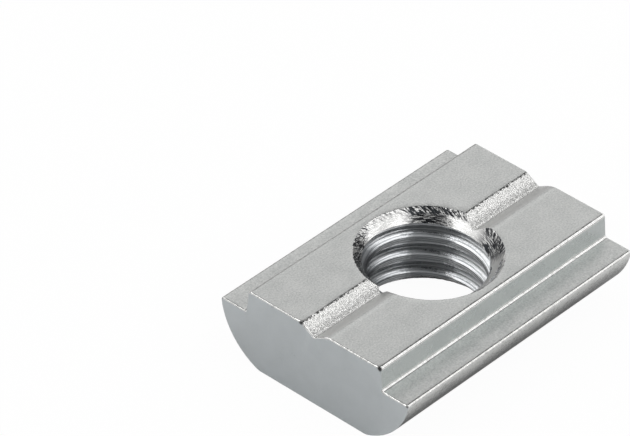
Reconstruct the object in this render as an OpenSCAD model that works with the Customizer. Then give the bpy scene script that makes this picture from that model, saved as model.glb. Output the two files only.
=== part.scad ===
// T slot nut for a 10 mm profile slot: one piece of drawn bar, drilled, countersunk and tapped M8.
// X runs along the slot, Y across it and Z up along the thread. The origin is under the thread, on the base.

/* [Bar] */
// Length along the slot
nut_len = 18.5; // [12:0.5:30]
// Height from the flat base to the top of the neck
nut_h = 5.0; // [4.8:0.1:5.6]
// Width over the flanges, at their flat tops
flange_w = 13.4; // [12.4:0.1:15]
// Width of the base, up to where the flanks' arcs would cross it
base_w = 7.7; // [7:0.1:8.4]
// Radius of each rounded flank
flank_r = 4.3; // [4.1:0.05:5]
// Radius of the bend between the base and each flank
base_edge_r = 0.8; // [0.4:0.1:1.2]
// Radius of the edge between a flange's top and its flank
flange_edge_r = 0.15; // [0.05:0.05:0.3]

/* [Neck] */
// Width of the neck at its top
neck_top_w = 9.4; // [9:0.1:9.6]
// Width of the neck at its root, where it meets the flanges
neck_root_w = 9.7; // [9.7:0.1:10]
// Height of the neck above the flanges
neck_h = 1.45; // [1.2:0.05:1.8]
// Radius of the neck's two top edges
neck_edge_r = 0.15; // [0.05:0.05:0.3]
// Radius in the two corners at the neck's root
root_r = 0.12; // [0.04:0.04:0.24]

/* [Centre groove] */
// Width of the V groove along the neck's top
groove_w = 1.85; // [1:0.05:2.4]
// Angle between the groove's walls
groove_angle = 120; // [100:5:130]
// Radius at the groove's bottom
groove_bottom_r = 0.12; // [0.04:0.04:0.2]

/* [Threaded hole] */
// Minor diameter of the M8 x 1.25 thread, which is the bore's wall
minor_d = 6.65; // [6.4:0.05:6.9]
// Diameter of the countersink at each mouth
csk_d = 8.3; // [8:0.1:8.8]
// Angle of the countersinks
csk_angle = 90; // [90:10:120]

/* [Hidden] */
$fn = 96;
// How far a cutting shape runs past the surface it opens
clear = 1;
flange_h = nut_h - neck_h;
csk_depth = (csk_d - minor_d) / 2 / tan(csk_angle / 2);

function unit(v) = v / norm(v);
// The centre of an arc of radius r that runs from p to q and bulges to the right of that way
function arc_centre(p, q, r) =
    (p + q) / 2 + unit([p[1] - q[1], q[0] - p[0]]) * sqrt(r ^ 2 - norm(q - p) ^ 2 / 4);
// The centre of a circle of radius r, at height z, that touches the flank's arc from inside
function inside_flank(r, z) =
    [flank_centre[0] + sqrt((flank_r - r) ^ 2 - (z - flank_centre[1]) ^ 2), z];
// The angle between the unit directions a and b along which a corner's two edges leave it
function corner_angle(a, b) = acos(a * b);
function fillet_centre(p, a, b, r) = p + unit(a + b) * r / sin(corner_angle(a, b) / 2);
function fillet_foot(p, a, b, r) = p + a * r / tan(corner_angle(a, b) / 2);

// The flank's arc runs up from the edge of the base to the edge of the flange's top
base_edge = [base_w / 2, 0];
flange_edge = [flange_w / 2, flange_h];
flank_centre = arc_centre(base_edge, flange_edge, flank_r);

// What lies between a corner and the arc that rounds it, and a little beyond the corner.
// feet are the two points where the arc meets the corner's edges.
module beyond_arc(corner, centre, feet, r) {
    reach = 1.5;
    difference() {
        polygon([
            centre,
            centre + reach * (feet[0] - centre),
            centre + 2 * (corner - centre),
            centre + reach * (feet[1] - centre)
        ]);
        translate(centre) circle(r);
    }
}

// The same for a corner between two straight edges, which leave it along a and b
module beyond_fillet(corner, a, b, r) {
    feet = [fillet_foot(corner, a, b, r), fillet_foot(corner, b, a, r)];
    beyond_arc(corner, fillet_centre(corner, a, b, r), feet, r);
}

// The corner taken off below a flange, which leaves the round flank
module below_flank() {
    beyond_arc([flange_w / 2, 0], flank_centre, [base_edge, flange_edge], flank_r);
}

// The corner taken off where the round flank meets the base or the flange's flat top.
// inwards is 1 where the metal lies above that edge and -1 where it lies below.
module beside_flat(edge, inwards, r) {
    centre = inside_flank(r, edge[1] + inwards * r);
    flank_foot = flank_centre + flank_r * unit(centre - flank_centre);
    beyond_arc(edge, centre, [[centre[0], edge[1]], flank_foot], r);
}

// The V cut along the middle of the neck's top, with its rounded bottom
module groove_section() {
    wall = [sin(groove_angle / 2), cos(groove_angle / 2)];
    depth = groove_w / 2 / tan(groove_angle / 2);
    bottom = [0, nut_h - depth];
    run = (depth + clear) / wall[1];
    difference() {
        polygon([bottom, bottom + run * wall, bottom + run * [-wall[0], wall[1]]]);
        beyond_fillet(bottom, wall, [-wall[0], wall[1]], groove_bottom_r);
    }
}

// The drawn bar's section, with Y to the right and Z up.
// Its straight outline cuts across the root's corner, and a circle hollows that corner out to its radius.
module bar_section() {
    wall = unit([neck_root_w - neck_top_w, -2 * neck_h]);
    root = [neck_root_w / 2, flange_h];
    half_outline = [
        [flange_w / 2, 0],
        [flange_w / 2, flange_h],
        fillet_foot(root, [1, 0], -wall, root_r),
        fillet_foot(root, -wall, [1, 0], root_r),
        [neck_top_w / 2, nut_h]
    ];
    last = len(half_outline) - 1;
    other_half = [for (i = [last:-1:0]) [-half_outline[i][0], half_outline[i][1]]];
    difference() {
        polygon(concat(half_outline, other_half));
        for (side = [0, 1]) mirror([side, 0]) {
            below_flank();
            beside_flat(base_edge, 1, base_edge_r);
            beside_flat(flange_edge, -1, flange_edge_r);
            beyond_fillet([neck_top_w / 2, nut_h], [-1, 0], wall, neck_edge_r);
            translate(fillet_centre(root, [1, 0], -wall, root_r)) circle(root_r);
        }
        groove_section();
    }
}

// The hole, at the thread's minor diameter, with a countersink at each mouth
module threaded_hole() {
    mouth_r = csk_d / 2 + clear * tan(csk_angle / 2);
    rotate_extrude() polygon([
        [0, -clear],
        [mouth_r, -clear],
        [minor_d / 2, csk_depth],
        [minor_d / 2, nut_h - csk_depth],
        [mouth_r, nut_h + clear],
        [0, nut_h + clear]
    ]);
}

module t_slot_nut() {
    color("silver") difference() {
        rotate([90, 0, 90]) linear_extrude(nut_len, center = true) bar_section();
        threaded_hole();
    }
}

t_slot_nut();
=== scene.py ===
import math

import bmesh
import bpy
from mathutils import Matrix, Vector, noise
from mathutils.geometry import delaunay_2d_cdt


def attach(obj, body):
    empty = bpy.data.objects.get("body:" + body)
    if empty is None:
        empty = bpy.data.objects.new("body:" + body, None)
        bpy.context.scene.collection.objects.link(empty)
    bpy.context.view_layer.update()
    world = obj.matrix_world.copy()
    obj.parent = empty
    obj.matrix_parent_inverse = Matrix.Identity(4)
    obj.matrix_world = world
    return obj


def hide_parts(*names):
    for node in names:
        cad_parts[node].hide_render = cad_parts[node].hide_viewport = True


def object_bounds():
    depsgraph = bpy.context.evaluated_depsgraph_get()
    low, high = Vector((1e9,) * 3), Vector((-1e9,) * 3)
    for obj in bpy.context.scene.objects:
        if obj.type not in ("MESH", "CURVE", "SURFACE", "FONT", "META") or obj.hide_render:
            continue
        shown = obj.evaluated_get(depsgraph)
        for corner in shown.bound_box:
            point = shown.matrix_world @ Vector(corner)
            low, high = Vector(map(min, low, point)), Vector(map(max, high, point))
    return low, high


mm = 0.001

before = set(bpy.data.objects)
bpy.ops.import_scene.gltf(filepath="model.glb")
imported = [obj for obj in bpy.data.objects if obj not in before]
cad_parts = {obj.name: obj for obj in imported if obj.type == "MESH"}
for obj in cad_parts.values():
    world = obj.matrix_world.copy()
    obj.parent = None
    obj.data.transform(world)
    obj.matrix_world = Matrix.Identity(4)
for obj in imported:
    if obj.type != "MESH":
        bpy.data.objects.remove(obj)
cadLow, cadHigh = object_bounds()
size = [round((b - a) / mm, 2) for a, b in zip(cadLow, cadHigh)]
print("frame loaded:", *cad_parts, "in a box of", size, "mm")

# the nut, in millimetres and degrees
nut = {
    "length": 18.5,
    "height": 5.0,
    "flangeWidth": 13.4,
    "baseWidth": 7.7,  # up to where the flanks' arcs would cross it
    "flankRadius": 4.3,
    "baseBendRadius": 0.8,
    "flangeEdgeRadius": 0.15,
    "neckTopWidth": 9.4,
    "neckRootWidth": 9.7,
    "neckHeight": 1.45,
    "neckEdgeRadius": 0.2,
    "rootRadius": 0.18,
    "grooveWidth": 1.85,
    "grooveAngle": 120,
    "grooveBottomRadius": 0.12,
    "lipBreak": 0.025,  # half width of the groove's rounded lip on the +Y side
    "nearLipBreak": 0.4,  # and on the -Y side
    "lipRagged": 0.025,  # how far the groove's lips wander
    "lipPattern": (6, 1, 0.5),
    "grain": 0.016,  # depth of the coarse skin on the groove's +Y wall
    "grainPattern": (8, 9, 3.1),
    "grainLevel": 0.3,  # the skin stands up where its pattern is above this
    "grainGap": 0.02,  # plain strip round the hole
    "grainFade": (0.12, 0.15),  # widths over which it fades in from the wall's borders and there
    "endBreak": 0.07,  # rounding of the cut ends
    "endRagged": 0.35,  # share by which that rounding varies
    "endPattern": (4, 4, 5),
    # knocks in the front corners: place, reach and depth
    "knocks": [
        ((-9.25, -4.66, 4.97), 0.34, 0.1),
        ((-9.25, -6.68, 3.55), 0.24, 0.07),
        ((-9.25, 6.68, 3.55), 0.22, 0.06),
        ((-9.25, 0.93, 5.0), 0.26, 0.09),
    ],
}

# the threaded hole, in millimetres and degrees
hole = {
    "rimRadius": 4.12,
    "crestRadius": 3.325,
    "pitch": 1.25,
    "crestWidth": 0.37,
    "rootWidth": 0.16,
    "flankAngle": 30,
    "crestSoft": (0.08, 0.27),  # how far the bends reach along both of a corner's sides
    "rootSoft": (0.24, 0.06),
    "phase": 4.433,  # height of one crest's middle, on the +X side
    "rimBreak": 0.03,  # rounding of the rims
    "chatter": 0.035,  # depth of the marks that the countersink left
    "chatterFineness": (20, 2),  # per radian around the hole and per mm of height
    "chatterLevel": 0.25,  # marks above this level dig in, the others stand up
    "chatterReach": 0.5,  # how far down the cone they go
    "chatterSlant": 0.5,  # their turn in radians per mm of depth
    "patchFineness": 2,  # of the stronger and weaker stretches
    "patchLayer": 7,
    "patchShare": 0.7,
}

# how finely the mesh is divided: steps, millimetres and degrees
division = {
    "bendSteps": 6,  # round the bend between base and flank
    "flankSteps": 38,
    "edgeSteps": 7,  # round the edges of flange and neck
    "rootSteps": 6,
    "flatSteps": 6,  # across the flange's top and up the neck's wall
    "crestSteps": 6,  # round the thread's corners
    "threadRootSteps": 5,
    "threadFlankRows": (0.45, 0.55),  # shares of the way from crest to root
    "threadTurns": (-6, 4),  # pitches that the thread's rows cover, counted from its phase
    "columns": 480,  # around the hole
    "rimSteps": 3,
    "rimSnap": 0.012,  # rows this close to a rim end there
    "nearEnd": (0, 0.06, 0.13, 0.22),  # rows across the nut, from where its end starts to round
    "evenFrom": 0.35,  # and where evenly spaced ones take over
    "evenSpans": 70,
    "grooveWallSteps": 12,
    "lipSteps": 3,
    "neckTopSteps": 16,
    "grooveSpacing": 0.07,
    "grooveGap": 0.05,  # between the hole's rim and the nearest point in the groove
    "topSpacing": 0.5,
    "topGap": 0.2,
    "endGap": 0.03,
    "baseRows": 8,
    "baseSpans": 60,
    "endTurn": 30,  # angle of one step round a cut end's rounding
    "mergeDistance": 0.0015,
    "sharpAngle": 33,
}


def uneven(x, y, pattern):
    # a smooth random number at a place; the pattern is its fineness both ways and its layer
    return noise.noise(Vector((x * pattern[0], y * pattern[1], pattern[2])))


def arc(centreY, centreZ, radius, start, end, steps):
    points = []
    for i in range(steps + 1):
        a = math.radians(start + (end - start) * i / steps)
        points.append((centreY + radius * math.cos(a), centreZ + radius * math.sin(a)))
    return points


def between(a, b, steps):
    # points strictly between a and b
    return [tuple(p + (q - p) * i / steps for p, q in zip(a, b)) for i in range(1, steps)]


def curve(start, corner, end, steps):
    # points of a small bend from start to end that takes off the corner
    points = []
    for i in range(steps + 1):
        t = i / steps
        points.append(start * (1 - t) ** 2 + corner * 2 * t * (1 - t) + end * t**2)
    return points


def heading(start, end):
    return math.degrees(math.atan2(end.y - start.y, end.x - start.x))


def flankMiddle(s=nut):
    # centre of the flank's arc, which runs from the base's edge to the flange's
    low = Vector((s["baseWidth"] / 2, 0))
    high = Vector((s["flangeWidth"] / 2, s["height"] - s["neckHeight"]))
    run = high - low
    away = math.sqrt(s["flankRadius"] ** 2 - run.length_squared / 4)
    return (low + high) / 2 + Vector((-run.y, run.x)).normalized() * away


def insideFlank(radius, z, s=nut):
    # centre, at height z, of a circle that touches the flank's arc from inside
    centre = flankMiddle(s)
    across = math.sqrt((s["flankRadius"] - radius) ** 2 - (z - centre.y) ** 2)
    return Vector((centre.x + across, z))


def sideChain(s=nut, d=division):
    # the +Y side of the section, from the foot of the flank up to the neck's top,
    # and the finish of each of its stretches
    flangeHeight = s["height"] - s["neckHeight"]
    bendR, bigR = s["baseBendRadius"], s["flankRadius"]
    edgeR, rootR, neckR = s["flangeEdgeRadius"], s["rootRadius"], s["neckEdgeRadius"]
    flankCentre = flankMiddle(s)
    bendCentre = insideFlank(bendR, bendR, s)
    edgeCentre = insideFlank(edgeR, flangeHeight - edgeR, s)
    low, high = heading(flankCentre, bendCentre), heading(flankCentre, edgeCentre)
    lean = (s["neckRootWidth"] - s["neckTopWidth"]) / 2 / s["neckHeight"]
    leanDegrees = math.degrees(math.atan(lean))
    rootY = s["neckRootWidth"] / 2 - lean * rootR + rootR * math.sqrt(1 + lean**2)
    neckY = s["neckTopWidth"] / 2 + lean * neckR - neckR * math.sqrt(1 + lean**2)
    bend = arc(*bendCentre, bendR, -90, low, d["bendSteps"])
    flank = bend + arc(*flankCentre, bigR, low, high, d["flankSteps"])[1:]
    edge = arc(*edgeCentre, edgeR, high, 90, d["edgeSteps"])
    root = arc(rootY, flangeHeight + rootR, rootR, 270, 180 + leanDegrees, d["rootSteps"])
    top = arc(neckY, s["height"] - neckR, neckR, leanDegrees, 90, d["edgeSteps"])
    chain = flank + edge[1:]
    finish = ["flank"] * (len(flank) - 1) + ["edge"] * (len(edge) - 1)
    for flatFinish, bent in (("skin", root), ("wall", top)):
        chain += between(chain[-1], bent[0], d["flatSteps"]) + bent
        finish += [flatFinish] * d["flatSteps"] + ["edge"] * (len(bent) - 1)
    return chain, finish


def grooveHeight(y, s=nut):
    # height of the neck's top at y, with the V groove
    half = math.radians(s["grooveAngle"] / 2)
    slope = 1 / math.tan(half)
    bottomR = s["grooveBottomRadius"]
    bottom = s["height"] - s["grooveWidth"] / 2 * slope
    lip = s["lipBreak"] if y > 0 else s["nearLipBreak"]
    y = abs(y)
    past = s["grooveWidth"] / 2 + lip - y
    if past <= 0:
        return s["height"]
    if past < 2 * lip:
        return s["height"] - slope * past**2 / (4 * lip)
    if y <= bottomR * math.cos(half):
        return bottom + bottomR / math.sin(half) - math.sqrt(bottomR**2 - y**2)
    return bottom + y * slope


def baseHeight(y, s=nut):
    # height of the underside at y: flat, then a bend that leads into the flank
    y = abs(y)
    bendR, bigR = s["baseBendRadius"], s["flankRadius"]
    bend, flank = insideFlank(bendR, bendR, s), flankMiddle(s)
    if y <= bend.x:
        return 0.0
    if y < flank.x + (bend.x - flank.x) * bigR / (bigR - bendR):
        return bendR - math.sqrt(bendR**2 - (y - bend.x) ** 2)
    return flank.y - math.sqrt(bigR**2 - (y - flank.x) ** 2)


def softCorner(before, corner, after, cuts, steps):
    start = corner + (before - corner).normalized() * cuts[0]
    end = corner + (after - corner).normalized() * cuts[1]
    return curve(start, corner, end, steps)


def threadKnots(s=hole, d=division):
    # one pitch of the thread as (offset from the crest's middle, radius)
    half = s["pitch"] / 2
    crestEnd = s["crestWidth"] / 2
    rootStart = half - s["rootWidth"] / 2
    depth = (rootStart - crestEnd) / math.tan(math.radians(s["flankAngle"]))
    r = s["crestRadius"]
    crest = Vector((crestEnd, r))
    root = Vector((rootStart, r + depth))
    up = [Vector((0, r)), Vector((crestEnd / 2, r))]
    up += softCorner(Vector((0, r)), crest, root, s["crestSoft"], d["crestSteps"])
    up += [crest.lerp(root, t) for t in d["threadFlankRows"]]
    up += softCorner(crest, root, Vector((half, r + depth)), s["rootSoft"], d["threadRootSteps"])
    down = [Vector((-p.x, p.y)) for p in reversed(up)]
    return [(p.x, p.y) for p in down[:-1] + up]


knots = threadKnots()


def threadRadius(angle, z):
    # the thread's own radius, with no countersinks
    pitch = hole["pitch"]
    offset = z - hole["phase"] - pitch * angle / (2 * math.pi)
    offset -= pitch * round(offset / pitch)
    for (a, ra), (b, rb) in zip(knots, knots[1:]):
        if offset <= b:
            return ra + (rb - ra) * max(offset - a, 0) / (b - a)
    return knots[-1][1]


def chatter(angle, z):
    # uneven depth of the cone near its rim
    s = hole
    depth = min(z, nut["height"] - z)
    share = max(0, 1 - depth / s["chatterReach"])
    turned = angle + s["chatterSlant"] * depth
    fine, upwards = s["chatterFineness"]
    wide = s["patchFineness"]
    marks = uneven(math.cos(turned), math.sin(turned), (fine, fine, upwards * z))
    patch = uneven(math.cos(angle), math.sin(angle), (wide, wide, z + s["patchLayer"]))
    return s["chatter"] * share * (marks - s["chatterLevel"]) * (s["patchShare"] + patch)


def coneRadius(angle, z):
    return hole["rimRadius"] - min(z, nut["height"] - z) + chatter(angle, z)


def wallRadius(angle, z):
    return max(threadRadius(angle, z), coneRadius(angle, z))


def mouthRadius(angle, heightAt):
    # where the hole's wall comes out of the surface: searched from outside in, then halved
    step = 0.005
    halvings = 24
    r = hole["rimRadius"] + 4 * step  # just outside the rim
    while r > hole["crestRadius"]:
        if wallRadius(angle, heightAt(r * math.sin(angle))) >= r - step:
            break
        r -= step
    low, high = r - step, r
    for _ in range(halvings):
        middle = (low + high) / 2
        if wallRadius(angle, heightAt(middle * math.sin(angle))) >= middle:
            low = middle
        else:
            high = middle
    return low


def onRing(angle, r, z):
    return (r * math.cos(angle), r * math.sin(angle), z)


def mouth(angle, heightAt, inward):
    # the break between the hole's wall and a surface: from the wall to the surface
    cut = hole["rimBreak"]
    r = mouthRadius(angle, heightAt)
    z = heightAt(r * math.sin(angle))
    wall = Vector((wallRadius(angle, z + inward * cut), z + inward * cut))
    surface = Vector((r + cut, heightAt((r + cut) * math.sin(angle))))
    return curve(wall, Vector((r, z)), surface, division["rimSteps"])


def helixLevels(angle):
    # heights of the mesh rows at this angle; the rows follow the thread
    levels = []
    for k in range(*division["threadTurns"]):
        middle = hole["phase"] + hole["pitch"] * (k + angle / (2 * math.pi))
        levels += [middle + offset for offset, _ in knots[:-1]]
    return levels


def snapToRunout(angle, levels, low, high):
    # moves the nearest row onto each place where thread and countersink meet
    levels = list(levels)
    for j in range(len(levels) - 1):
        a, b = levels[j], levels[j + 1]
        if a < low or b > high:
            continue
        gapA = threadRadius(angle, a) - coneRadius(angle, a)
        gapB = threadRadius(angle, b) - coneRadius(angle, b)
        if gapA * gapB < 0:
            meet = a + (b - a) * gapA / (gapA - gapB)
            levels[j if meet - a < b - meet else j + 1] = meet
    return levels


class Skin:
    # faces with their finish, joined at equal places afterwards
    def __init__(self):
        self.points = []
        self.faces = []

    def add(self, points):
        first = len(self.points)
        self.points += points
        return list(range(first, len(self.points)))

    def face(self, corners, finish):
        kept = []
        for c in corners:
            if c not in kept:
                kept.append(c)
        if len(kept) > 2:
            self.faces.append((kept, finish))


def cutAt(angle, point):
    # whether a point of the hole's wall was countersunk or threaded
    x, y, z = point
    r = math.hypot(x, y)
    rounding = 1e-6
    clearOfCrest = hole["crestRadius"] + 0.01
    return "cone" if clearOfCrest < r <= coneRadius(angle, z) + rounding else "thread"


def buildHole(skin):
    # thread and countersinks; gives the rings where they meet the neck's top and the base
    columns = division["columns"]
    snap = division["rimSnap"]
    angles = [2 * math.pi * i / columns for i in range(columns)]
    grid, topRims, baseRims = [], [], []
    for angle in angles:
        top = mouth(angle, grooveHeight, -1)
        base = mouth(angle, baseHeight, 1)
        low, high = base[0].y, top[0].y
        topRims.append(skin.add([onRing(angle, p.x, p.y) for p in top]))
        baseRims.append(skin.add([onRing(angle, p.x, p.y) for p in base]))
        column = []
        for z in snapToRunout(angle, helixLevels(angle), low, high):
            if z <= low + snap:
                column.append(baseRims[-1][0])
            elif z >= high - snap:
                column.append(topRims[-1][0])
            else:
                column += skin.add([onRing(angle, wallRadius(angle, z), z)])
        grid.append(column)
    for i, angle in enumerate(angles):
        k = (i + 1) % columns
        here, there = grid[i], grid[k]
        shift = 0 if k else len(knots) - 1  # a full turn on, the rows lie one pitch higher
        for j in range(len(here) - 1 - shift):
            corners = [here[j], here[j + 1], there[j + 1 + shift], there[j + shift]]
            skin.face(corners, cutAt(angle, skin.points[here[j]]))
        for m in range(division["rimSteps"]):
            for rims in (topRims, baseRims):
                skin.face([rims[i][m], rims[i][m + 1], rims[k][m + 1], rims[k][m]], "cone")
    return [r[-1] for r in topRims], [r[-1] for r in baseRims]


def snapRing(skin, ring, levels):
    # puts ring points exactly on the lines where the surface bends
    places = []
    for side in (-1, 1):
        near = [i for i in ring if skin.points[i][0] * side > 0]
        for y in levels:
            best = min(near, key=lambda i: abs(skin.points[i][1] - y))
            x, oldY, _ = skin.points[best]
            x = side * math.sqrt(x * x + oldY * oldY - y * y)
            skin.points[best] = (x, y, grooveHeight(y))
            places.append((side, y, best))
    return places


def ringPolygon(skin, ring):
    return [Vector(skin.points[i][:2]) for i in ring]


def ringReach(around, p):
    # distance from the axis to the ring in the direction of p
    share = math.atan2(p.y, p.x) % (2 * math.pi) / (2 * math.pi) * len(around)
    i = int(share)
    a, b = around[i % len(around)], around[(i + 1) % len(around)]
    return a.length + (b.length - a.length) * (share - i)


def insidePolygon(around, p):
    crossings = 0
    for a, b in zip(around, around[1:] + around[:1]):
        if (a.y > p.y) != (b.y > p.y):
            crossings += p.x < a.x + (p.y - a.y) * (b.x - a.x) / (b.y - a.y)
    return crossings % 2 == 1


def rowPoints(around, y, places, gap):
    # points of one row along the nut that keep clear of the hole
    row = [Vector((x, y)) for x in places]
    return [p for p in row if p.length > ringReach(around, p) + gap]


def closedEdges(first, count):
    return [(first + i, first + (i + 1) % count) for i in range(count)]


def triangulate(flat, edges):
    # triangles inside the edges, and the given points that each of their corners comes from
    insideOnly = 1
    tolerance = 1e-6
    spots, _, triangles, sources, _, _ = delaunay_2d_cdt(flat, edges, [], insideOnly, tolerance)
    return spots, triangles, sources


def sheetOutline(stations, levels):
    # a rectangle with a corner at each mesh row
    outline = [(x, levels[0]) for x in stations]
    outline += [(stations[-1], y) for y in levels[1:]]
    outline += [(x, levels[-1]) for x in reversed(stations[:-1])]
    return outline + [(stations[0], y) for y in reversed(levels[1:-1])]


def addBreak(flat, edges, begin, end, ragged):
    # a line of edges from one point to another, along which the surface bends
    steps = int((flat[end] - flat[begin]).length / division["grooveSpacing"])
    before = begin
    for i in range(1, steps):
        p = flat[begin].lerp(flat[end], i / steps)
        p.y += ragged * uneven(p.x, p.y, nut["lipPattern"])
        flat.append(p)
        edges.append((before, len(flat) - 1))
        before = len(flat) - 1
    edges.append((before, end))


def coarseHeight(p, heightAt, around, endX):
    # height of a sheet at p; the groove's +Y wall has a coarse skin that fades at its borders
    s = nut
    z = heightAt(p.y)
    inside = min(s["grooveWidth"] / 2 + s["lipBreak"] - p.y, endX - abs(p.x))
    if z < s["height"] / 2 or p.y <= 0 or inside <= 0:
        return z
    fromBorder, fromHole = s["grainFade"]
    gap = max(p.length - ringReach(around, p) - s["grainGap"], 0)
    fade = min(1, inside / fromBorder, gap / fromHole)
    return z + fade * s["grain"] * (uneven(p.x, p.y, s["grainPattern"]) - s["grainLevel"])


def buildSheet(skin, ring, stations, levels, heightAt, grooveHalf, breaks, inner):
    # a flat-lying surface with the hole's ring cut out of it
    outline = sheetOutline(stations, levels)
    around = ringPolygon(skin, ring)
    start = len(outline)
    flat = [Vector(p) for p in outline] + around
    edges = closedEdges(0, start) + closedEdges(start, len(ring))
    for side, y, point in breaks:
        begin = outline.index((stations[-1] if side > 0 else stations[0], y))
        ragged = nut["lipRagged"] if abs(y) == grooveHalf else 0
        addBreak(flat, edges, begin, start + ring.index(point), ragged)
    spots, triangles, sources = triangulate(flat + inner, edges)
    ids = skin.add([(p.x, p.y, coarseHeight(p, heightAt, around, stations[-1])) for p in spots])
    ringSources = set(range(start, start + len(ring)))
    onRim = {i for i, given in enumerate(sources) if ringSources.intersection(given)}
    for triangle in triangles:
        middle = sum((spots[i] for i in triangle), Vector((0, 0))) / 3
        if onRim.issuperset(triangle) and insidePolygon(around, middle):
            continue
        skin.face([ids[i] for i in triangle], "groove" if abs(middle.y) < grooveHalf else "skin")


def insetLoop(loop, distances):
    # moves each corner of a closed outline inwards, square to its sides
    moved = []
    count = len(loop)
    for i in range(count):
        a, b, c = Vector(loop[i - 1]), Vector(loop[i]), Vector(loop[(i + 1) % count])
        u, v = (b - a).normalized(), (c - b).normalized()
        n = Vector((-u.y - v.y, u.x + v.x)).normalized()
        share = n.dot(Vector((-u.y, u.x)))
        p = b + n * distances[i] / share
        moved.append((p.x, p.y))
    return moved


def buildEnd(skin, loop, side):
    # the rounded edge and flat face at one end
    s = nut
    turn = s["endBreak"]
    fineY, fineZ, layer = s["endPattern"]
    wear = [1 + s["endRagged"] * uneven(y, z, (fineY, fineZ, layer * side)) for y, z in loop]
    rings = []
    for degrees in range(0, 91, division["endTurn"]):
        a = math.radians(degrees)
        x = side * (s["length"] / 2 - turn + turn * math.sin(a))
        outline = insetLoop(loop, [turn * w * (1 - math.cos(a)) for w in wear])
        rings.append(skin.add([(x, y, z) for y, z in outline]))
    for i, corner in enumerate(loop):
        k = (i + 1) % len(loop)
        run = Vector(loop[k]) - Vector(corner)
        facesUp = -run.x > run.length / 2
        for a, b in zip(rings, rings[1:]):
            skin.face([a[i], a[k], b[k], b[i]], "brink" if facesUp else "end")
    last = rings[-1]
    flat = [Vector(skin.points[i][1:]) for i in last]
    _, triangles, sources = triangulate(flat, closedEdges(0, len(last)))
    for triangle in triangles:
        skin.face([last[sources[i][0]] for i in triangle], "end")


def stationsAlong(s=nut, d=division):
    # places along the nut of the mesh rows that cross it
    straight = s["length"] / 2 - s["endBreak"]
    reach = straight - d["evenFrom"]
    stations = [-straight + gap for gap in d["nearEnd"]]
    stations += [-reach + 2 * reach * i / d["evenSpans"] for i in range(d["evenSpans"] + 1)]
    return stations + [straight - gap for gap in reversed(d["nearEnd"])]


def buildSides(skin, stations, chain, stretches):
    for side in (1, -1):
        rows = [skin.add([(x, side * y, z) for x in stations]) for y, z in chain]
        for a, b, finish in zip(rows, rows[1:], stretches):
            for i in range(len(stations) - 1):
                skin.face([a[i], a[i + 1], b[i + 1], b[i]], finish)


def sideLevels(foot, half, lip, topY, d=division):
    # distances from the groove's middle of the mesh rows on one side of the neck's top
    wall, bend, flat = d["grooveWallSteps"], d["lipSteps"], d["neckTopSteps"]
    levels = [foot / 2] + [foot + (half - lip - foot) * i / wall for i in range(wall + 1)]
    levels += [half + lip * i / bend for i in range(1 - bend, bend + 1)]
    start = half + lip
    return levels + [start + (topY - start) * i / flat for i in range(1, flat)] + [topY]


def buildNeckTop(skin, ring, stations, topY):
    # the neck's top with the groove; gives the places of its mesh rows
    s, d = nut, division
    straight = stations[-1]
    half = s["grooveWidth"] / 2
    foot = s["grooveBottomRadius"] * math.cos(math.radians(s["grooveAngle"] / 2))
    near = sideLevels(foot, half, s["nearLipBreak"], topY)
    levels = [-y for y in reversed(near)] + [0.0] + sideLevels(foot, half, s["lipBreak"], topY)
    breaks = snapRing(skin, ring, [-half, -foot, foot, half])
    around = ringPolygon(skin, ring)
    inner = []
    for y in levels[1:-1]:
        if abs(y) in (half, foot):
            continue
        lip = s["lipBreak"] if y > 0 else s["nearLipBreak"]
        justPastLip = half + 1.01 * lip
        part = "groove" if abs(y) < justPastLip else "top"
        count = int(2 * straight / d[part + "Spacing"])
        places = [-straight + 2 * straight * i / count for i in range(1, count)]
        places += [d["endGap"] - straight, straight - d["endGap"]]
        inner += rowPoints(around, y, places, d[part + "Gap"])
    buildSheet(skin, ring, stations, levels, grooveHeight, half, breaks, inner)
    return levels


def buildUnderside(skin, ring, stations, bend):
    # the base, up to where the flanks' own rows begin; gives the places of its mesh rows
    rows, spans = division["baseRows"], division["baseSpans"]
    straight = stations[-1]
    right = [bend[0][0] * i / rows for i in range(1, rows)] + [y for y, _ in bend]
    levels = [-y for y in reversed(right)] + [0.0] + right
    around = ringPolygon(skin, ring)
    places = [-straight + 2 * straight * i / spans for i in range(1, spans)]
    inner = []
    for y in levels[1:-1]:
        inner += rowPoints(around, y, places, division["topGap"])
    buildSheet(skin, ring, stations, levels, baseHeight, 0, [], inner)
    return levels


def knockCorners(skin):
    # small dents, pushed towards the middle of the nut
    middle = Vector((0, 0, nut["height"] / 2))
    for place, reach, depth in nut["knocks"]:
        inwards = (middle - Vector(place)).normalized()
        for i, p in enumerate(skin.points):
            gap = (Vector(p) - Vector(place)).length / reach
            if gap < 1:
                moved = Vector(p) + inwards * depth * (1 - gap) ** 2
                skin.points[i] = tuple(moved)


def buildNut():
    skin = Skin()
    topRing, baseRing = buildHole(skin)
    print("hole built:", len(skin.faces), "faces")
    chain, stretches = sideChain()
    clearOfHole = hole["rimRadius"] + 0.5
    cut = next(i for i, (y, z) in enumerate(chain) if y > clearOfHole)
    bend, chain, stretches = chain[: cut + 1], chain[cut:], stretches[cut:]
    stations = stationsAlong()
    buildSides(skin, stations, chain, stretches)
    topLevels = buildNeckTop(skin, topRing, stations, chain[-1][0])
    baseLevels = buildUnderside(skin, baseRing, stations, bend)
    loop = [(y, baseHeight(y)) for y in baseLevels] + chain[1:]
    loop += [(y, grooveHeight(y)) for y in reversed(topLevels[:-1])]
    loop += [(-y, z) for y, z in reversed(chain[1:-1])]
    for side in (-1, 1):
        buildEnd(skin, loop, side)
    knockCorners(skin)
    return skin


def addObject(name, data):
    added = bpy.data.objects.new(name, data)
    bpy.context.scene.collection.objects.link(added)
    return added


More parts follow.
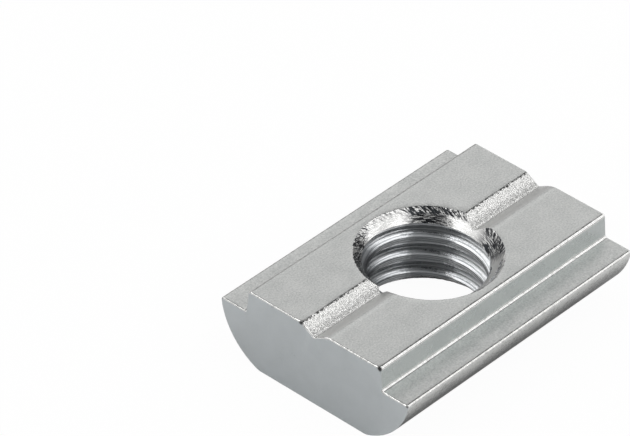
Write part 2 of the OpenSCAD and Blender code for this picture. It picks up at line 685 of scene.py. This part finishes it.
def finishMesh(skin, finishes):
    mesh = bpy.data.meshes.new("tSlotNut")
    names = list(finishes)
    build = bmesh.new()
    corners = [build.verts.new([c * mm for c in p]) for p in skin.points]
    for ids, finish in skin.faces:
        face = build.faces.new([corners[i] for i in ids])
        face.material_index = names.index(finish)
        face.smooth = True
    bmesh.ops.delete(build, geom=[v for v in build.verts if not v.link_faces], context="VERTS")
    bmesh.ops.remove_doubles(build, verts=build.verts, dist=division["mergeDistance"] * mm)
    bmesh.ops.recalc_face_normals(build, faces=build.faces)
    loose = [e for e in build.edges if len(e.link_faces) != 2]
    sharpAngle = math.radians(division["sharpAngle"])
    for e in build.edges:
        e.smooth = len(e.link_faces) == 2 and e.calc_face_angle(0) < sharpAngle
    triangles = sum(len(f.verts) - 2 for f in build.faces)
    print("nut mesh:", triangles, "triangles,", len(loose), "open or crowded edges")
    build.to_mesh(mesh)
    build.free()
    for name in names:
        mesh.materials.append(finishes[name])
    piece = addObject("tSlotNut", mesh)
    weighted = piece.modifiers.new("flatFacesStayFlat", "WEIGHTED_NORMAL")
    weighted.weight = 100
    weighted.keep_sharp = True
    return piece


def fillSocket(tree, socket, value):
    # with another node's output or a plain value
    if isinstance(value, bpy.types.NodeSocket):
        tree.links.new(value, socket)
    else:
        socket.default_value = value


def addNode(tree, kind, inputs=None, **settings):
    node = tree.nodes.new(kind)
    for name, value in settings.items():
        setattr(node, name, value)
    for key, value in (inputs or {}).items():
        fillSocket(tree, node.inputs[key], value)
    return node


def addMath(tree, operation, *values):
    inputs = dict(enumerate(values))
    return addNode(tree, "ShaderNodeMath", inputs, operation=operation).outputs[0]


def setStops(ramp, stops):
    # gives a colour ramp its (place, colour) stops, lowest first
    elements = ramp.color_ramp.elements
    while len(elements) < len(stops):
        elements.new(1)
    for element, (place, colour) in zip(elements, stops):
        element.position = place
        element.color = (*colour, 1)


class Finish:
    # one procedural metal; its places are in millimetres
    def __init__(self, name):
        self.material = bpy.data.materials.new(name)
        self.material.use_nodes = True
        self.tree = self.material.node_tree
        self.shader = self.tree.nodes["Principled BSDF"]
        self.shader.inputs["Metallic"].default_value = 1
        self.place = self.scaled(self.add("ShaderNodeTexCoord").outputs["Object"], 1 / mm)

    def add(self, kind, inputs=None, **settings):
        return addNode(self.tree, kind, inputs, **settings)

    def scaled(self, value, factor):
        inputs = {0: value, "Scale": factor}
        return self.add("ShaderNodeVectorMath", inputs, operation="SCALE").outputs[0]

    def vector(self, operation, *values):
        inputs = dict(enumerate(values))
        return self.add("ShaderNodeVectorMath", inputs, operation=operation).outputs[0]

    def measure(self, operation, *vectors):
        # a number from one or two vectors
        inputs = dict(enumerate(vectors))
        return self.add("ShaderNodeVectorMath", inputs, operation=operation).outputs["Value"]

    def number(self, operation, *values):
        return addMath(self.tree, operation, *values)

    def parts(self, value):
        # outputs X, Y and Z of a vector
        return self.add("ShaderNodeSeparateXYZ", {0: value}).outputs

    def noise(self, where, scale, detail=2, roughness=0.5, fourth=None):
        inputs = {"Vector": where, "Scale": scale, "Detail": detail, "Roughness": roughness}
        if fourth is None:
            return self.add("ShaderNodeTexNoise", inputs).outputs[0]
        inputs["W"] = fourth
        return self.add("ShaderNodeTexNoise", inputs, noise_dimensions="4D").outputs[0]

    def mapped(self, value, low, high, toLow=0, toHigh=1):
        inputs = {"Value": value, "From Min": low, "From Max": high, "To Min": toLow, "To Max": toHigh}
        return self.add("ShaderNodeMapRange", inputs).outputs[0]

    def spread(self, value, ends):
        # a number between two ends, led by a noise
        usual = (0.3, 0.7)
        return self.mapped(value, *usual, *ends)

    def blend(self, *shares):
        # weighted sum of (value, weight) pairs
        total = 0
        for value, weight in shares:
            total = self.number("MULTIPLY_ADD", value, weight, total)
        return total

    def tint(self, value, stops):
        ramp = self.add("ShaderNodeValToRGB", {0: value})
        setStops(ramp, stops)
        fillSocket(self.tree, self.shader.inputs["Base Color"], ramp.outputs[0])

    def rough(self, value):
        fillSocket(self.tree, self.shader.inputs["Roughness"], value)

    def relief(self, *layers):
        # bumps of (height, depth in mm), one over the other
        normal = None
        for height, depth in layers:
            inputs = {"Height": height, "Distance": depth * mm, "Strength": 1}
            if normal:
                inputs["Normal"] = normal
            normal = self.add("ShaderNodeBump", inputs).outputs[0]
        fillSocket(self.tree, self.shader.inputs["Normal"], normal)

    def sound(self):
        # 1 on clean metal, falling to 0 in the painted shade of the knocks' hollows
        value = 1
        for place, reach, _ in nut["knocks"]:
            apart = self.measure("DISTANCE", self.place, place)
            dark, clean = (reach * share for share in knockShadeLook["reach"])
            value = self.number("MULTIPLY", value, self.mapped(apart, dark, clean))
        return value

    def around(self):
        # direction from the hole's axis, and the height
        height = self.parts(self.place)["Z"]
        flat = self.vector("MULTIPLY", self.place, (1, 1, 0))
        return self.vector("NORMALIZE", flat), height

    def facing(self, way, angle):
        # cosine between a direction from the axis and another one, in degrees from +X
        a = math.radians(angle)
        return self.measure("DOT_PRODUCT", way, (math.cos(a), math.sin(a), 0))

    def within(self, cosine, halfWidth, core, outside, inside, offset=0):
        # goes from one value outside a place to another in the core of it
        half = math.radians(halfWidth)
        low, high = math.cos(half) + offset, math.cos(half * core) + offset
        return self.mapped(cosine, low, high, outside, inside)


# In the looks below the colours are (shade, colour) from the darkest up. A fineness is per mm
# and a depth in mm, where no note says otherwise. A group of four numbers is a change: the
# first two say where it starts and ends, the others give the values there.

# painted shade: the dark hearts of the knocks' hollows
knockShadeLook = {
    "colour": (0.04, 0.04, 0.04),
    "reach": (0.4, 0.75),  # shares of a knock's reach where they are darkest and where they end
}

# what the drawn surfaces have in common
drawing = {
    "blotches": 0.8,
    "streaks": (0.4, 11, 11),  # fineness along, across and up the nut
    "shares": (0.75, 0.2, 0.05),  # of grain, blotches and streaks in the shade
    "streakDepth": 0.1,  # share of the grain's depth
}

skinLook = {
    "colours": [(0.36, (0.455, 0.467, 0.46)), (0.62, (0.655, 0.66, 0.647))],
    "grain": 10,
    "grainDepth": 0.008,
    "roughness": (0.285, 0.295),
}

# the drawn skin again, darker and bluer: painted shade on the neck's upright walls
shadedWallLook = {
    "colours": [(0.36, (0.415, 0.438, 0.435)), (0.62, (0.475, 0.5, 0.495))],
    "grain": 10,
    "grainDepth": 0.004,
    "roughness": (0.24, 0.3),
}

# the flank: painted shade darkens it towards its foot, a painted highlight pales it near its top
flankLook = {
    "colours": [(0.1, (0.08, 0.082, 0.081)), (0.62, (0.78, 0.785, 0.772))],
    "upwards": (1.8, 3.4, 0.3, 1.4),  # painted shade and painted highlight: the flank is drawn darker at its foot and paler at its top
    "grazingShade": 0.55,  # tint of its reflections at grazing angles, held dark as painted shade
    "grain": 7,
    "grainDepth": 0.018,
    "roughness": (0.18, 0.24),
}


def drawnSkin(name, look):
    f = Finish(name)
    grain = f.noise(f.place, look["grain"], detail=3, roughness=0.65)
    blotches = f.noise(f.place, drawing["blotches"])
    streaks = f.noise(f.vector("MULTIPLY", f.place, drawing["streaks"]), 1)
    shade = f.blend(*zip((grain, blotches, streaks), drawing["shares"]))
    # painted shade and painted highlight by height, for the flank
    if "upwards" in look:
        shade = f.number("MULTIPLY", shade, f.mapped(f.parts(f.place)["Z"], *look["upwards"]))
        f.shader.inputs["Specular Tint"].default_value = (*[look["grazingShade"]] * 3, 1)
    f.tint(shade, look["colours"])
    f.rough(f.spread(blotches, look["roughness"]))
    f.relief((grain, look["grainDepth"]), (streaks, look["grainDepth"] * drawing["streakDepth"]))
    return f.material


# places here are distances towards +Y from the groove's middle
grooveLook = {
    "colours": [(0, (0.06, 0.06, 0.06)), (0.39, (0.43, 0.43, 0.424)), (0.54, (0.9, 0.9, 0.885))],
    "grain": 17,
    "grainDepth": 0.06,
    "patches": 1 / 3,  # their fineness against the grain's
    "shadeShares": (0.85, 0.15),  # of grain and patches in the shade
    "depthShares": (0.75, 0.25),  # and in the relief
    "coarse": (-0.15, 0.05, 0.06, 1),  # share of both that shows
    "lip": (0.84, 0.88, 0, -0.7),  # the +Y wall darkens towards its lip
    "lipWander": 0.4,
    "dots": 14,  # fineness of the dots in that line
    "dotShade": (0.4, 0.55, 0.3, 1.3),  # from their pattern
    "bottomShadeStart": (0, 0.12, 0, 1),
    "bottom": (0.15, 0.5, -0.1, 0),  # painted shade: the +Y wall darkens towards the groove's bottom
    "nearWallShade": (-0.1, 0, -0.045, 0),  # painted shade: the -Y wall is drawn a little darker
    "roughness": (0.18, 0.3),
    "nearRoughness": (-0.2, -0.05, 0.42, 0),
}


def groovedSkin(look):
    f = Finish("zincGroove")
    y = f.parts(f.place)["Y"]
    grain = f.noise(f.place, look["grain"], detail=3, roughness=0.6)
    patches = f.noise(f.place, look["grain"] * look["patches"])
    coarse = f.mapped(y, *look["coarse"])
    ragged = f.number("MULTIPLY_ADD", patches, look["lipWander"], y)
    ragged = f.number("SUBTRACT", ragged, look["lipWander"] / 2)
    dots = f.mapped(f.noise(f.place, look["dots"], detail=1), *look["dotShade"])
    lip = f.number("MULTIPLY", f.mapped(ragged, *look["lip"]), dots)
    # painted shade towards the groove's bottom, on the +Y wall
    bottom = f.number("MULTIPLY", f.mapped(y, *look["bottomShadeStart"]), f.mapped(y, *look["bottom"]))
    # painted shade on the -Y wall
    nearWallShade = f.mapped(y, *look["nearWallShade"])
    mottled = f.number("SUBTRACT", f.blend(*zip((grain, patches), look["shadeShares"])), 0.5)
    shade = f.blend((mottled, coarse), (lip, 1), (bottom, 1), (nearWallShade, 1))
    f.tint(f.number("ADD", shade, 0.5), look["colours"])
    rubbed = f.mapped(y, *look["nearRoughness"])
    f.rough(f.number("MAXIMUM", rubbed, f.spread(grain, look["roughness"])))
    bumps = f.blend(*zip((grain, patches), look["depthShares"]))
    f.relief((f.number("MULTIPLY", bumps, coarse), look["grainDepth"]))
    return f.material


# places here are depths below the nearer rim
coneLook = {
    "colours": [(0, (0.04, 0.043, 0.047)), (0.4, (0.34, 0.34, 0.34)), (1, (0.63, 0.63, 0.62))],
    "ticks": (30, 5),  # fineness per radian and per mm of height of the marks across the cone
    "rings": (8, 20),  # and of those along it
    "slant": -0.35,  # turn of both in radians per mm of height
    "tickReach": (0.08, 0.4, 1, 0),
    "tickShade": (0.5, 0.38, 0, 0.9),  # from their pattern
    "tickDepth": 0.05,
    "ringDepth": 0.012,
    "fleckEdge": 0.09,  # softness of the torn flecks' edges
    "fleckDepth": 0.25,  # share of the ticks' depth that they have below the rim
    "fleckCore": 1 / 3,  # share of a dark flecked place that is fully dark
    # dark flecked places, partly tool marks and partly painted dark reflection: angle from +X and half
    # width in degrees, how much of the flecks runs along the cone below the rim, level of the marks up to
    # which it is dark, and whether that goes deep
    "places": [
        (-28, 23, 0.8, 0.585, 1),
        (14, 15, 0, 0.56, 0),
        (42, 25, 0.95, 0.6, 1),
        (132, 39, 0.8, 0.56, 1),
    ],
    "lengthwise": (0.16, 0.3, 0.15),  # where the flecks turn along the cone, and how much at the rim
    "deep": (0.2, 0.35, 1),  # where a shallow dark flecked place fades out from full
    "roughness": (0.08, 0.18),
    "dull": (-68, 34, 0.48),  # angle and half width of the rubbed side, and its roughness
    "dullCore": 0.5,
}


def cutCone(look):
    f = Finish("zincCone")
    way, height = f.around()
    inputs = {"Vector": way, "Angle": f.number("MULTIPLY", height, look["slant"])}
    turned = f.add("ShaderNodeVectorRotate", inputs, rotation_type="Z_AXIS").outputs[0]
    upright = f.add("ShaderNodeCombineXYZ", {"Z": height}).outputs[0]

    def toolMarks(fineness):
        where = f.vector("ADD", f.scaled(turned, fineness[0]), f.scaled(upright, fineness[1]))
        return f.noise(where, 1, roughness=0.6)

    ticks = toolMarks(look["ticks"])
    rings = toolMarks(look["rings"])
    down = f.number("MINIMUM", height, f.number("SUBTRACT", nut["height"], height))
    nearRim = f.mapped(down, *look["tickReach"])
    flecks = 0
    # dark flecks: partly tool marks, partly painted dark reflection
    for angle, halfWidth, lengthwise, level, deep in look["places"]:
        share = f.within(f.facing(way, angle), halfWidth, look["fleckCore"], 0, 1)
        share = f.number("MULTIPLY", share, f.mapped(down, *look["deep"], deep))
        along = f.mapped(down, *look["lengthwise"], lengthwise)
        marks = f.number("MULTIPLY_ADD", f.number("SUBTRACT", rings, ticks), along, ticks)
        darkFleck = f.mapped(marks, level, level - look["fleckEdge"])
        flecks = f.number("MULTIPLY_ADD", share, darkFleck, flecks)
    tickDark = f.number("MULTIPLY", nearRim, f.mapped(ticks, *look["tickShade"]))
    shade = f.number("SUBTRACT", f.number("SUBTRACT", 1, tickDark), flecks)
    f.tint(shade, look["colours"])
    angle, halfWidth, dullRoughness = look["dull"]
    dull = f.within(f.facing(way, angle), halfWidth, look["dullCore"], 0, dullRoughness)
    f.rough(f.number("MAXIMUM", dull, f.spread(rings, look["roughness"])))
    depth = f.number("MAXIMUM", nearRim, f.number("MULTIPLY", flecks, look["fleckDepth"]))
    f.relief((rings, look["ringDepth"]), (f.number("MULTIPLY", ticks, depth), look["tickDepth"]))
    return f.material


threadLook = {
    "colours": [(0, (0.04, 0.042, 0.045)), (0.25, (0.28, 0.292, 0.302)), (1, (0.95, 0.965, 0.98))],
    "patches": 7,
    "patchDepth": 0.005,
    "lines": 3,  # fineness of the uneven tool lines in a pitch
    "lineShares": (0.8, 0.2),  # of lines and patches in their shade
    "lineShade": (0.37, 0.52, 0.35, 1),
    "lineDepth": 0.02,
    "scratches": 10,  # thin dark tool lines in a pitch
    "scratchWander": (2, 1),  # how far lines and patches push them about
    "scratchShade": (-0.9, -0.3, 0.45, 1),
    "scratchDepth": 0.1,  # share of the uneven lines' depth
    "crestEdge": (0.015, 0.06),  # their drilled look fades out this far outside the crests' radius
    "crest": 0.95,  # share of the light that they keep
    "crestRoughness": 0.55,
    # darker and rougher stretches: angle from +X, half width in degrees, the light that is left and the
    # roughness. The one at 40° is a painted dark reflection, the one at 110° is painted shade over the
    # left half so that the right half reads lighter, and the one at 136° is a darker, rougher start
    "places": [(136, 44, 0.14, 0.3), (40, 22, 0.42, 0.5), (110, 100, 0.73, 0.28), (-20, 50, 1, 0.36)],
    "placeCore": 0.65,
    "placeWander": (0.35, 0.15),  # how far lines and patches fray their ends
    "roughness": (0.2, 0.32),
}


def cutThread(look):
    f = Finish("zincThread")
    way, height = f.around()
    sides = f.parts(way)
    angle = f.number("ARCTAN2", sides["Y"], sides["X"])
    turn = f.number("MULTIPLY_ADD", height, 2 * math.pi / hole["pitch"], f.number("MULTIPLY", angle, -1))
    across = f.number("MULTIPLY", f.number("COSINE", turn), look["lines"])
    along = f.number("MULTIPLY", f.number("SINE", turn), look["lines"])
    helix = f.add("ShaderNodeCombineXYZ", {"X": across, "Y": along, "Z": sides["X"]}).outputs[0]
    lines = f.noise(helix, 1, roughness=0.6, fourth=sides["Y"])
    patches = f.noise(f.place, look["patches"], detail=3, roughness=0.6)
    both = (lines, patches)
    scratches = f.number("SINE", f.blend((turn, look["scratches"]), *zip(both, look["scratchWander"])))
    radius = f.measure("LENGTH", f.vector("MULTIPLY", f.place, (1, 1, 0)))
    crestEdge = [hole["crestRadius"] + gap for gap in look["crestEdge"]]
    shade = f.mapped(f.blend(*zip(both, look["lineShares"])), *look["lineShade"])
    shade = f.number("MULTIPLY", shade, f.mapped(radius, *crestEdge, look["crest"], 1))
    shade = f.number("MULTIPLY", shade, f.mapped(scratches, *look["scratchShade"]))
    roughness = f.spread(patches, look["roughness"])
    crestRoughness = f.mapped(radius, *crestEdge, look["crestRoughness"], 0)
    roughness = f.number("MAXIMUM", roughness, crestRoughness)
    wander = look["placeWander"]
    # painted dark reflection and painted shade over stretches of the thread, with their roughness
    for angle, halfWidth, left, dull in look["places"]:
        frayed = f.blend((f.facing(way, angle), 1), *zip(both, wander))
        place = (frayed, halfWidth, look["placeCore"])
        shade = f.number("MULTIPLY", shade, f.within(*place, 1, left, sum(wander) / 2))
        roughness = f.number("MAXIMUM", roughness, f.within(*place, 0, dull, sum(wander) / 2))
    f.tint(shade, look["colours"])
    f.rough(roughness)
    cuts = f.blend((lines, 1), (scratches, look["scratchDepth"]))
    f.relief((patches, look["patchDepth"]), (cuts, look["lineDepth"]))
    return f.material


# what all rubbed edges have in common
rubbing = {
    "wear": 5,
    "wearDepth": 0.004,
    "farFrom": (4, 4.5),  # y between which an edge becomes one of the +Y side
}

# the rounded edges along the nut
edgeLook = {
    "colours": [(0, knockShadeLook["colour"]), (0.32, (0.5, 0.5, 0.49)), (0.55, (0.66, 0.66, 0.65))],
    "farPaintedShade": 0.6,  # painted shade: the +Y edges are drawn darker
    "roughness": 0.19,
    "farRoughness": 0.45,
    "paintedBrow": (0.004, 0.018),  # a painted dark dotted line, standing in for the edge's dark reflection, fades out this far below the flat beside an edge
    "paintedBrowSide": (-1, 1, 0.8, 0),  # its strength from -Y to +Y
    "dots": 12,
    "dotShade": (0.62, 0.4, 0, 1),
    "flangeStrip": 0.5,  # width within which the flange's edge lies
}

# the rubbed brink between the top faces and the cut ends; its pale colours are rubbed metal and partly a
# painted highlight
brinkHighlightLook = {
    "colours": [(0, knockShadeLook["colour"]), (0.32, (0.48, 0.48, 0.47)), (0.55, (0.86, 0.86, 0.845))],
    # painted shade on the brink's +Y side
    "farPaintedShade": 0.9,
    "roughness": 0.2,
}


def paintedBrowLine(f, look):
    # 1 on clean metal, less in the painted dark dotted line (a painted dark reflection) below a flat
    place = f.parts(f.place)
    edgeY = nut["flangeWidth"] / 2 - look["flangeStrip"]
    onFlange = f.number("GREATER_THAN", f.number("ABSOLUTE", place["Y"]), edgeY)
    flat = f.number("MULTIPLY_ADD", onFlange, -nut["neckHeight"], nut["height"])
    under = f.number("SUBTRACT", flat, place["Z"])
    strength = f.mapped(place["Y"], *look["paintedBrowSide"])
    dots = f.mapped(f.noise(f.place, look["dots"], detail=1), *look["dotShade"])
    line = f.number("MULTIPLY", f.mapped(under, *look["paintedBrow"], strength, 0), dots)
    return f.number("SUBTRACT", 1, line)


def rubbedEdge(name, look):
    f = Finish(name)
    y = f.parts(f.place)["Y"]
    wear = f.noise(f.place, rubbing["wear"], detail=3, roughness=0.6)
    # painted shade on the +Y edges
    shade = f.number("MULTIPLY", wear, f.mapped(y, *rubbing["farFrom"], 1, look["farPaintedShade"]))
    # painted dark reflection just below the flats
    if "paintedBrow" in look:
        shade = f.number("MULTIPLY", shade, paintedBrowLine(f, look))
    f.tint(f.number("MULTIPLY", shade, f.sound()), look["colours"])
    if "farRoughness" in look:
        f.rough(f.mapped(y, *rubbing["farFrom"], look["roughness"], look["farRoughness"]))
    else:
        f.rough(look["roughness"])
    f.relief((wear, rubbing["wearDepth"]))
    return f.material


endLook = {
    "colours": [(0, knockShadeLook["colour"]), (0.35, (0.47, 0.495, 0.506)), (0.65, (0.494, 0.52, 0.531))],
    "clouds": 1.1,
    "specks": 11,
    "shares": (0.7, 0.3),  # of clouds and specks in the shade
    "speckDepth": 0.001,
    "roughness": 0.42,
}


def shearedEnd(look):
    f = Finish("zincEnd")
    clouds = f.noise(f.place, look["clouds"], detail=3)
    specks = f.noise(f.place, look["specks"])
    shade = f.number("MULTIPLY", f.blend(*zip((clouds, specks), look["shares"])), f.sound())
    f.tint(shade, look["colours"])
    f.rough(look["roughness"])
    f.relief((specks, look["speckDepth"]))
    return f.material


finishes = {
    "skin": drawnSkin("zincSkin", skinLook),
    "wall": drawnSkin("zincWallShaded", shadedWallLook),
    "flank": drawnSkin("zincFlank", flankLook),
    "groove": groovedSkin(grooveLook),
    "cone": cutCone(coneLook),
    "thread": cutThread(threadLook),
    "edge": rubbedEdge("zincEdge", edgeLook),
    "brink": rubbedEdge("zincBrinkHighlight", brinkHighlightLook),
    "end": shearedEnd(endLook),
}
print("finishes ready")

piece = finishMesh(buildNut(), finishes)
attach(piece, "root")
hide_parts("t_slot_nut")

# the camera, in millimetres and degrees
view = {
    "azimuth": -48.968,  # from -Y towards +X
    "elevation": 37.559,
    "roll": 1.884,
    "distance": 273.72,
    "focal": 290.0,
    "sensor": 36,
    "right": 6.1486,  # how far the hole's mouth lies right of the view's middle
    "down": 1.8569,  # and how far below it
    "clip": (10, 20000),
}


def addCamera(v):
    a, e, r = (math.radians(v[k]) for k in ("azimuth", "elevation", "roll"))
    back = Vector((math.sin(a) * math.cos(e), -math.cos(a) * math.cos(e), math.sin(e)))
    level = Vector((math.cos(a), math.sin(a), 0))
    rise = back.cross(level)
    right = level * math.cos(r) + rise * math.sin(r)
    up = rise * math.cos(r) - level * math.sin(r)
    target = Vector((0, 0, nut["height"]))
    place = target - right * v["right"] + up * v["down"] + back * v["distance"]
    data = bpy.data.cameras.new("camera")
    data.sensor_width = v["sensor"]
    data.lens = v["focal"]
    data.clip_start, data.clip_end = (distance * mm for distance in v["clip"])
    camera = addObject("camera", data)
    camera.matrix_world = Matrix.Translation(place * mm) @ Matrix((right, up, back)).transposed().to_4x4()
    bpy.context.scene.camera = camera


addCamera(view)
print("camera set")

# the studio, in metres and degrees
studio = {
    "floorColour": (0.88, 0.88, 0.88),
    "floorRadius": 3,
    "floorSides": 96,
    "floorGap": 0.00002,  # between the floor and the nut's base
    "white": 0.965,  # share of plain white in the floor that the camera sees
    "whiteInMetal": 0.05,  # and in the floor that the metal reflects
    # light of the surroundings at each elevation
    "surroundings": [(8, 0.1), (23, 1.05), (43, 1.05), (50, 0.075)],
    # azimuth from +X towards +Y, elevation, distance, width, height and brightness
    "softboxes": {
        "rightBank": (-53, 51, 0.6, 1.1, 0.19, 1.25),
        "leftBank": (131, 51, 0.6, 1.1, 0.19, 1.15),
        "rightTop": (-49, 69, 0.6, 0.3, 0.2, 2.1),
        "leftTop": (131, 69, 0.6, 0.3, 0.2, 3.0),
        "rightLow": (-50, 17, 0.6, 0.6, 0.18, 1.2),
    },
}


def addWorld(s):
    world = bpy.data.worlds.new("studio")
    bpy.context.scene.world = world
    world.use_nodes = True
    tree = world.node_tree
    way = addNode(tree, "ShaderNodeTexCoord").outputs["Generated"]
    height = addNode(tree, "ShaderNodeSeparateXYZ", {0: way}).outputs["Z"]
    ramp = addNode(tree, "ShaderNodeValToRGB", {0: height})
    ramp.color_ramp.interpolation = "EASE"
    setStops(ramp, [(math.sin(math.radians(e)), [light] * 3) for e, light in s["surroundings"]])
    fillSocket(tree, tree.nodes["Background"].inputs["Color"], ramp.outputs[0])


def addSoftbox(name, azimuth, elevation, distance, width, height, brightness):
    # a rectangle of light that faces the nut
    a, e = math.radians(azimuth), math.radians(elevation)
    direction = Vector((math.cos(a) * math.cos(e), math.sin(a) * math.cos(e), math.sin(e)))
    data = bpy.data.lights.new(name, "AREA")
    data.shape = "RECTANGLE"
    data.size = width
    data.size_y = height
    data.energy = brightness * math.pi * width * height
    lamp = addObject(name, data)
    lamp.location = direction * distance + Vector((0, 0, nut["height"] / 2 * mm))
    lamp.rotation_mode = "QUATERNION"
    lamp.rotation_quaternion = direction.to_track_quat("Z", "Y")
    lamp.visible_camera = False


def paleFloor(s):
    # the camera sees mostly plain white, and the metal mostly the floor as it is lit
    material = bpy.data.materials.new("paleFloor")
    material.use_nodes = True
    tree = material.node_tree
    tree.nodes.clear()
    ray = addNode(tree, "ShaderNodeLightPath").outputs
    seen = addMath(tree, "MULTIPLY", ray["Is Camera Ray"], s["white"])
    others = addMath(tree, "ADD", ray["Is Glossy Ray"], ray["Is Transmission Ray"])
    share = addMath(tree, "MULTIPLY_ADD", others, s["whiteInMetal"], seen)
    diffuse = addNode(tree, "ShaderNodeBsdfDiffuse", {"Color": (*s["floorColour"], 1)}).outputs[0]
    glow = addNode(tree, "ShaderNodeEmission", {"Strength": 1}).outputs[0]
    mix = addNode(tree, "ShaderNodeMixShader", {0: share, 1: diffuse, 2: glow}).outputs[0]
    addNode(tree, "ShaderNodeOutputMaterial", {"Surface": mix})
    return material


def addFloor(s):
    mesh = bpy.data.meshes.new("floor")
    build = bmesh.new()
    bmesh.ops.create_circle(build, cap_ends=True, segments=s["floorSides"], radius=s["floorRadius"])
    build.to_mesh(mesh)
    build.free()
    mesh.materials.append(paleFloor(s))
    floor = addObject("floor", mesh)
    floor.location.z = -s["floorGap"]


addWorld(studio)
for name, setting in studio["softboxes"].items():
    addSoftbox(name, *setting)
addFloor(studio)
bpy.context.scene.view_settings.view_transform = "Standard"
print("studio ready")
